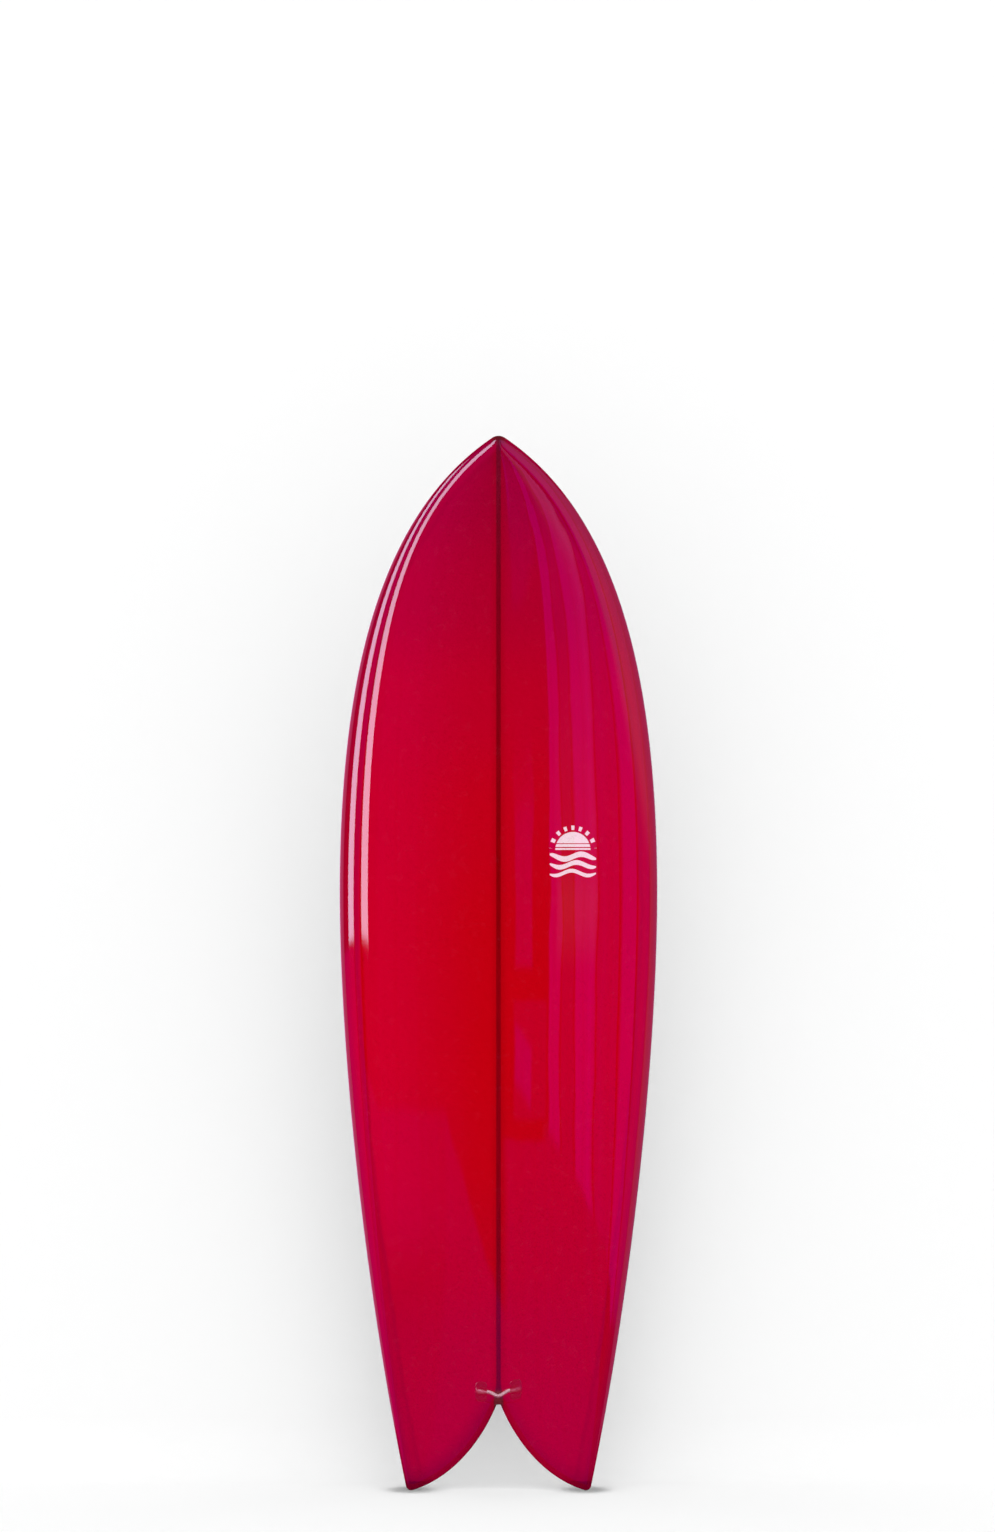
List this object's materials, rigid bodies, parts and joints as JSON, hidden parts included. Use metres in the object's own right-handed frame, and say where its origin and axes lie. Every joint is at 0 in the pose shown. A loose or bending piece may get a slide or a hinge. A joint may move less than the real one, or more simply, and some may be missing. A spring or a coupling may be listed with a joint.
{
  "type": "twin keel fish surfboard",
  "caption": "Shortboard surfboard with a pointed nose, wide outline, forked swallow tail, glossy red resin tint, wooden stringer, rope leash loop and wooden keel fins.",
  "frame": {"origin": "middle of the bounding box at the height of the tail tips", "axes": "+Z from the tail tips to the nose, -Y out of the deck, +Y out of the bottom, X across the board"},
  "size_m": [0.539, 0.2286, 1.778],
  "materials": {
    "foam": "polyurethane foam, sealed in the laminate",
    "stringer_wood": "bare wood, sealed in the laminate",
    "deck_glass": "tinted polyester resin and glass cloth, gloss coat",
    "bottom_glass": "tinted polyester resin and glass cloth, gloss coat",
    "decal_tissue": "printed tissue under resin",
    "loop_rope": "fibreglass rope wetted with resin",
    "loop_patch": "glass cloth in tinted resin",
    "keel_plywood": "foiled plywood under clear resin",
    "keel_halo": "clear resin and roving",
    "keel_glass": "glass cloth in clear resin, gloss coat",
    "keel_fillet": "tinted resin and roving"
  },
  "bodies": {
    "root": {"foam_right": "foam", "foam_left": "foam", "stringer": "stringer_wood", "deck_laminate": "deck_glass", "bottom_laminate": "bottom_glass", "deck_decal": "decal_tissue", "leash_loop": "loop_rope", "loop_patch_right": "loop_patch", "loop_patch_left": "loop_patch", "keel_core_right": "keel_plywood", "keel_core_left": "keel_plywood", "keel_halo_right": "keel_halo", "keel_halo_left": "keel_halo", "keel_inner_skin_right": "keel_glass", "keel_inner_skin_left": "keel_glass", "keel_outer_skin_right": "keel_glass", "keel_outer_skin_left": "keel_glass", "keel_inner_fillet_right": "keel_fillet", "keel_inner_fillet_left": "keel_fillet", "keel_outer_fillet_right": "keel_fillet", "keel_outer_fillet_left": "keel_fillet"}
  },
  "joints": []
}
